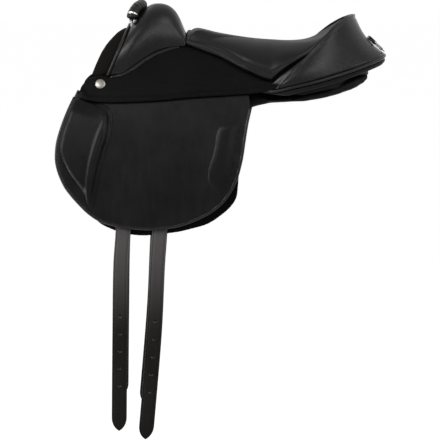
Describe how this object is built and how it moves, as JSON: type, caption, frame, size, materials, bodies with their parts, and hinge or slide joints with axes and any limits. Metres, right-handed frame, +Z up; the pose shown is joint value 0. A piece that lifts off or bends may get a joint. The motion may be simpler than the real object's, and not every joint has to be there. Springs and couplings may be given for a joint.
{
  "type": "pony saddle",
  "caption": "Small black leather pony saddle with a deep seat, a rolled grab handle across the pommel, hinged flaps with knee blocks and two long girth billets a side",
  "frame": {"origin": "on the centre plane of the saddle, level with the lower faces of the two panels where they bear on the pony's back", "axes": "X rearwards from the pommel to the cantle, Y to the pony's right (far) side, Z up; the near side is -Y"},
  "size_m": [0.4912, 0.266, 0.6385],
  "materials": {
    "leather": "black, satin, fine grain",
    "panel_leather": "black, soft, matt",
    "lining": "brownish black, matt",
    "foam": "open-cell foam, matt",
    "web": "woven webbing, matt",
    "tree": "moulded, matt",
    "steel": "zinc plated, satin",
    "nickel": "nickel plated, bright"
  },
  "bodies": {
    "saddle": {"tree": "tree", "head_plate": "steel", "girth_web_rear": "web", "point_web_near": "web", "point_web_far": "web", "seat_foam": "foam", "seat_cover": "leather", "cantle_cover": "leather", "rear_piping": "leather", "rear_band": "leather", "crupper_chape": "leather", "pommel_cover": "leather", "pommel_piping": "leather", "front_lining": "lining", "handle_staple_near": "nickel", "handle_staple_far": "nickel", "panel_near": "panel_leather", "panel_far": "panel_leather", "skirt_root_near": "leather", "skirt_root_far": "leather", "skirt_nail_near": "nickel", "skirt_nail_far": "nickel", "sweat_flap_near": "panel_leather", "sweat_flap_far": "panel_leather", "stirrup_bar_near": "steel", "stirrup_bar_far": "steel", "catch_pin_near": "steel", "catch_pin_far": "steel", "bar_rivet_front_near": "steel", "bar_rivet_rear_near": "steel", "bar_rivet_front_far": "steel", "bar_rivet_rear_far": "steel"},
    "flap_near": {"flap_near": "leather", "flap_binding_near": "leather", "knee_block_near": "leather", "thigh_block_near": "leather"},
    "flap_far": {"flap_far": "leather", "flap_binding_far": "leather", "knee_block_far": "leather", "thigh_block_far": "leather"},
    "skirt_near": {"skirt_near": "leather"},
    "skirt_far": {"skirt_far": "leather"},
    "billet_front_near": {"billet_front_near": "leather"},
    "billet_front_far": {"billet_front_far": "leather"},
    "billet_rear_near": {"billet_rear_near": "leather"},
    "billet_rear_far": {"billet_rear_far": "leather"},
    "bar_catch_near": {"bar_catch_near": "steel"},
    "bar_catch_far": {"bar_catch_far": "steel"},
    "crupper_dee": {"crupper_dee": "nickel"},
    "handle": {"handle_grip": "leather", "handle_loop_near": "leather", "handle_loop_far": "leather"}
  },
  "joints": [
    {"name": "flap_near_lift", "type": "hinge", "parent": "saddle", "child": "flap_near", "pos_m": [0, -0.085, 0.041], "axis": [-0.994, 0, -0.1097], "range_deg": [0, 70]},
    {"name": "flap_far_lift", "type": "hinge", "parent": "saddle", "child": "flap_far", "pos_m": [0, 0.085, 0.041], "axis": [0.994, 0, 0.1097], "range_deg": [0, 70]},
    {"name": "skirt_near_lift", "type": "hinge", "parent": "flap_near", "child": "skirt_near", "pos_m": [0, -0.085, 0.041], "axis": [-0.994, 0, -0.1097], "range_deg": [0, 50]},
    {"name": "skirt_far_lift", "type": "hinge", "parent": "flap_far", "child": "skirt_far", "pos_m": [0, 0.085, 0.041], "axis": [0.994, 0, 0.1097], "range_deg": [0, 50]},
    {"name": "billet_front_near_swing", "type": "hinge", "parent": "saddle", "child": "billet_front_near", "pos_m": [-0.1485, -0.08197, 0.01079], "axis": [0, 1, 0], "range_deg": [-1, 5]},
    {"name": "billet_front_far_swing", "type": "hinge", "parent": "saddle", "child": "billet_front_far", "pos_m": [-0.1485, 0.08197, 0.01079], "axis": [0, 1, 0], "range_deg": [-1, 5]},
    {"name": "billet_rear_near_swing", "type": "hinge", "parent": "saddle", "child": "billet_rear_near", "pos_m": [-0.1005, -0.08199, 0.01606], "axis": [0, 1, 0], "range_deg": [-5, 1]},
    {"name": "billet_rear_far_swing", "type": "hinge", "parent": "saddle", "child": "billet_rear_far", "pos_m": [-0.1005, 0.08199, 0.01606], "axis": [0, 1, 0], "range_deg": [-5, 1]},
    {"name": "bar_catch_near_open", "type": "hinge", "parent": "saddle", "child": "bar_catch_near", "pos_m": [-0.01466, -0.07025, 0.04618], "axis": [-0.0963, 0.4791, 0.8724], "range_deg": [0, 80]},
    {"name": "bar_catch_far_open", "type": "hinge", "parent": "saddle", "child": "bar_catch_far", "pos_m": [-0.01466, 0.07025, 0.04618], "axis": [0.0963, 0.4791, -0.8724], "range_deg": [0, 80]},
    {"name": "crupper_dee_swing", "type": "hinge", "parent": "saddle", "child": "crupper_dee", "pos_m": [0.23056, 0, 0.08752], "axis": [0, -1, 0], "range_deg": [0, 110]},
    {"name": "handle_lift", "type": "hinge", "parent": "saddle", "child": "handle", "pos_m": [-0.1316, 0, 0.1212], "axis": [0, -1, 0], "range_deg": [0, 60]}
  ]
}
